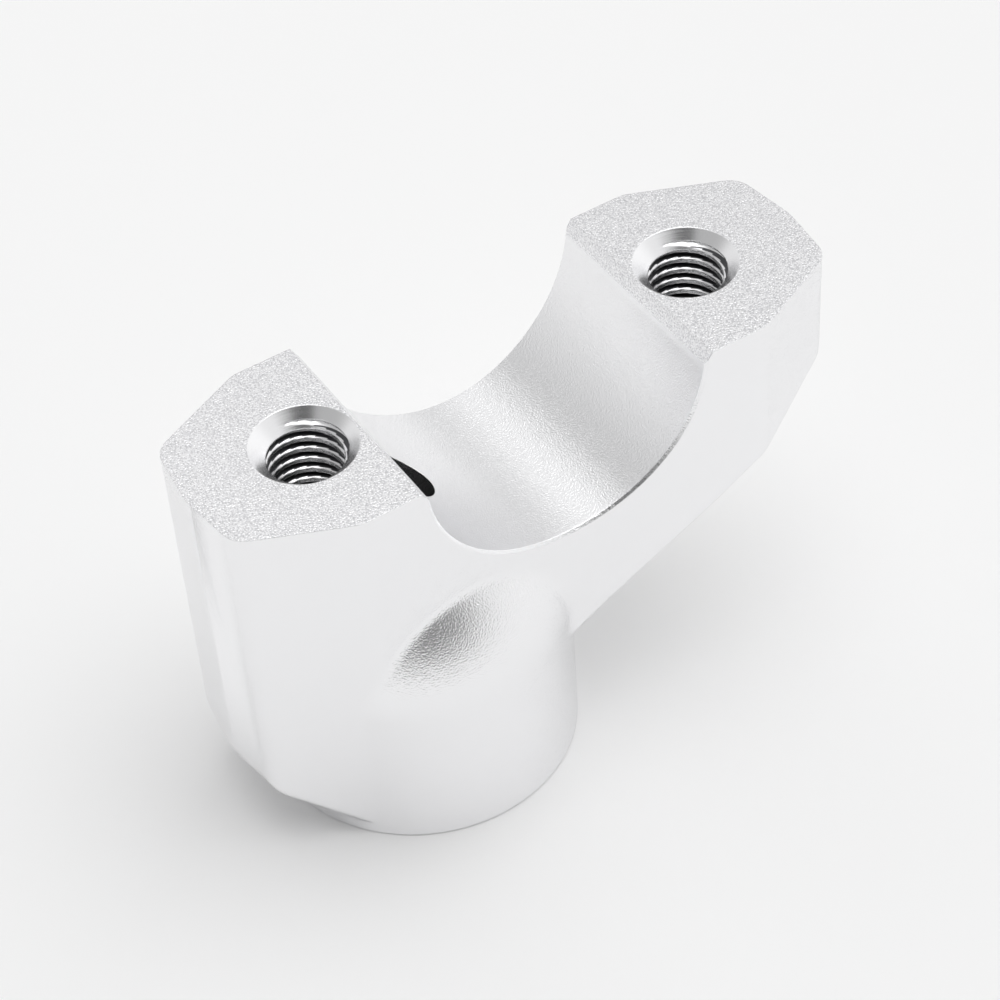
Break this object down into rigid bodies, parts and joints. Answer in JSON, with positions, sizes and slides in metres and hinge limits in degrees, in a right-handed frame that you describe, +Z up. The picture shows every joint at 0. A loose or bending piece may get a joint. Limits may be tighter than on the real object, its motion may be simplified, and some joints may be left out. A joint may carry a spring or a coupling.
{
  "type": "handlebar clamp",
  "caption": "Lower handlebar clamp: half-round bar seat between a tall and a short bolt arm, offset from a round bolted foot.",
  "frame": {"origin": "centre of the round foot's bottom face, on the fixing bolt's axis", "axes": "+X from the foot's axis towards the short arm, +Y along the handlebar, +Z up towards the upper half of the clamp"},
  "size_m": [0.0635, 0.0304, 0.041],
  "materials": {
    "blasted_aluminium": "bead-blasted and clear anodised"
  },
  "bodies": {
    "root": {"lower_clamp": "blasted_aluminium"}
  },
  "joints": []
}
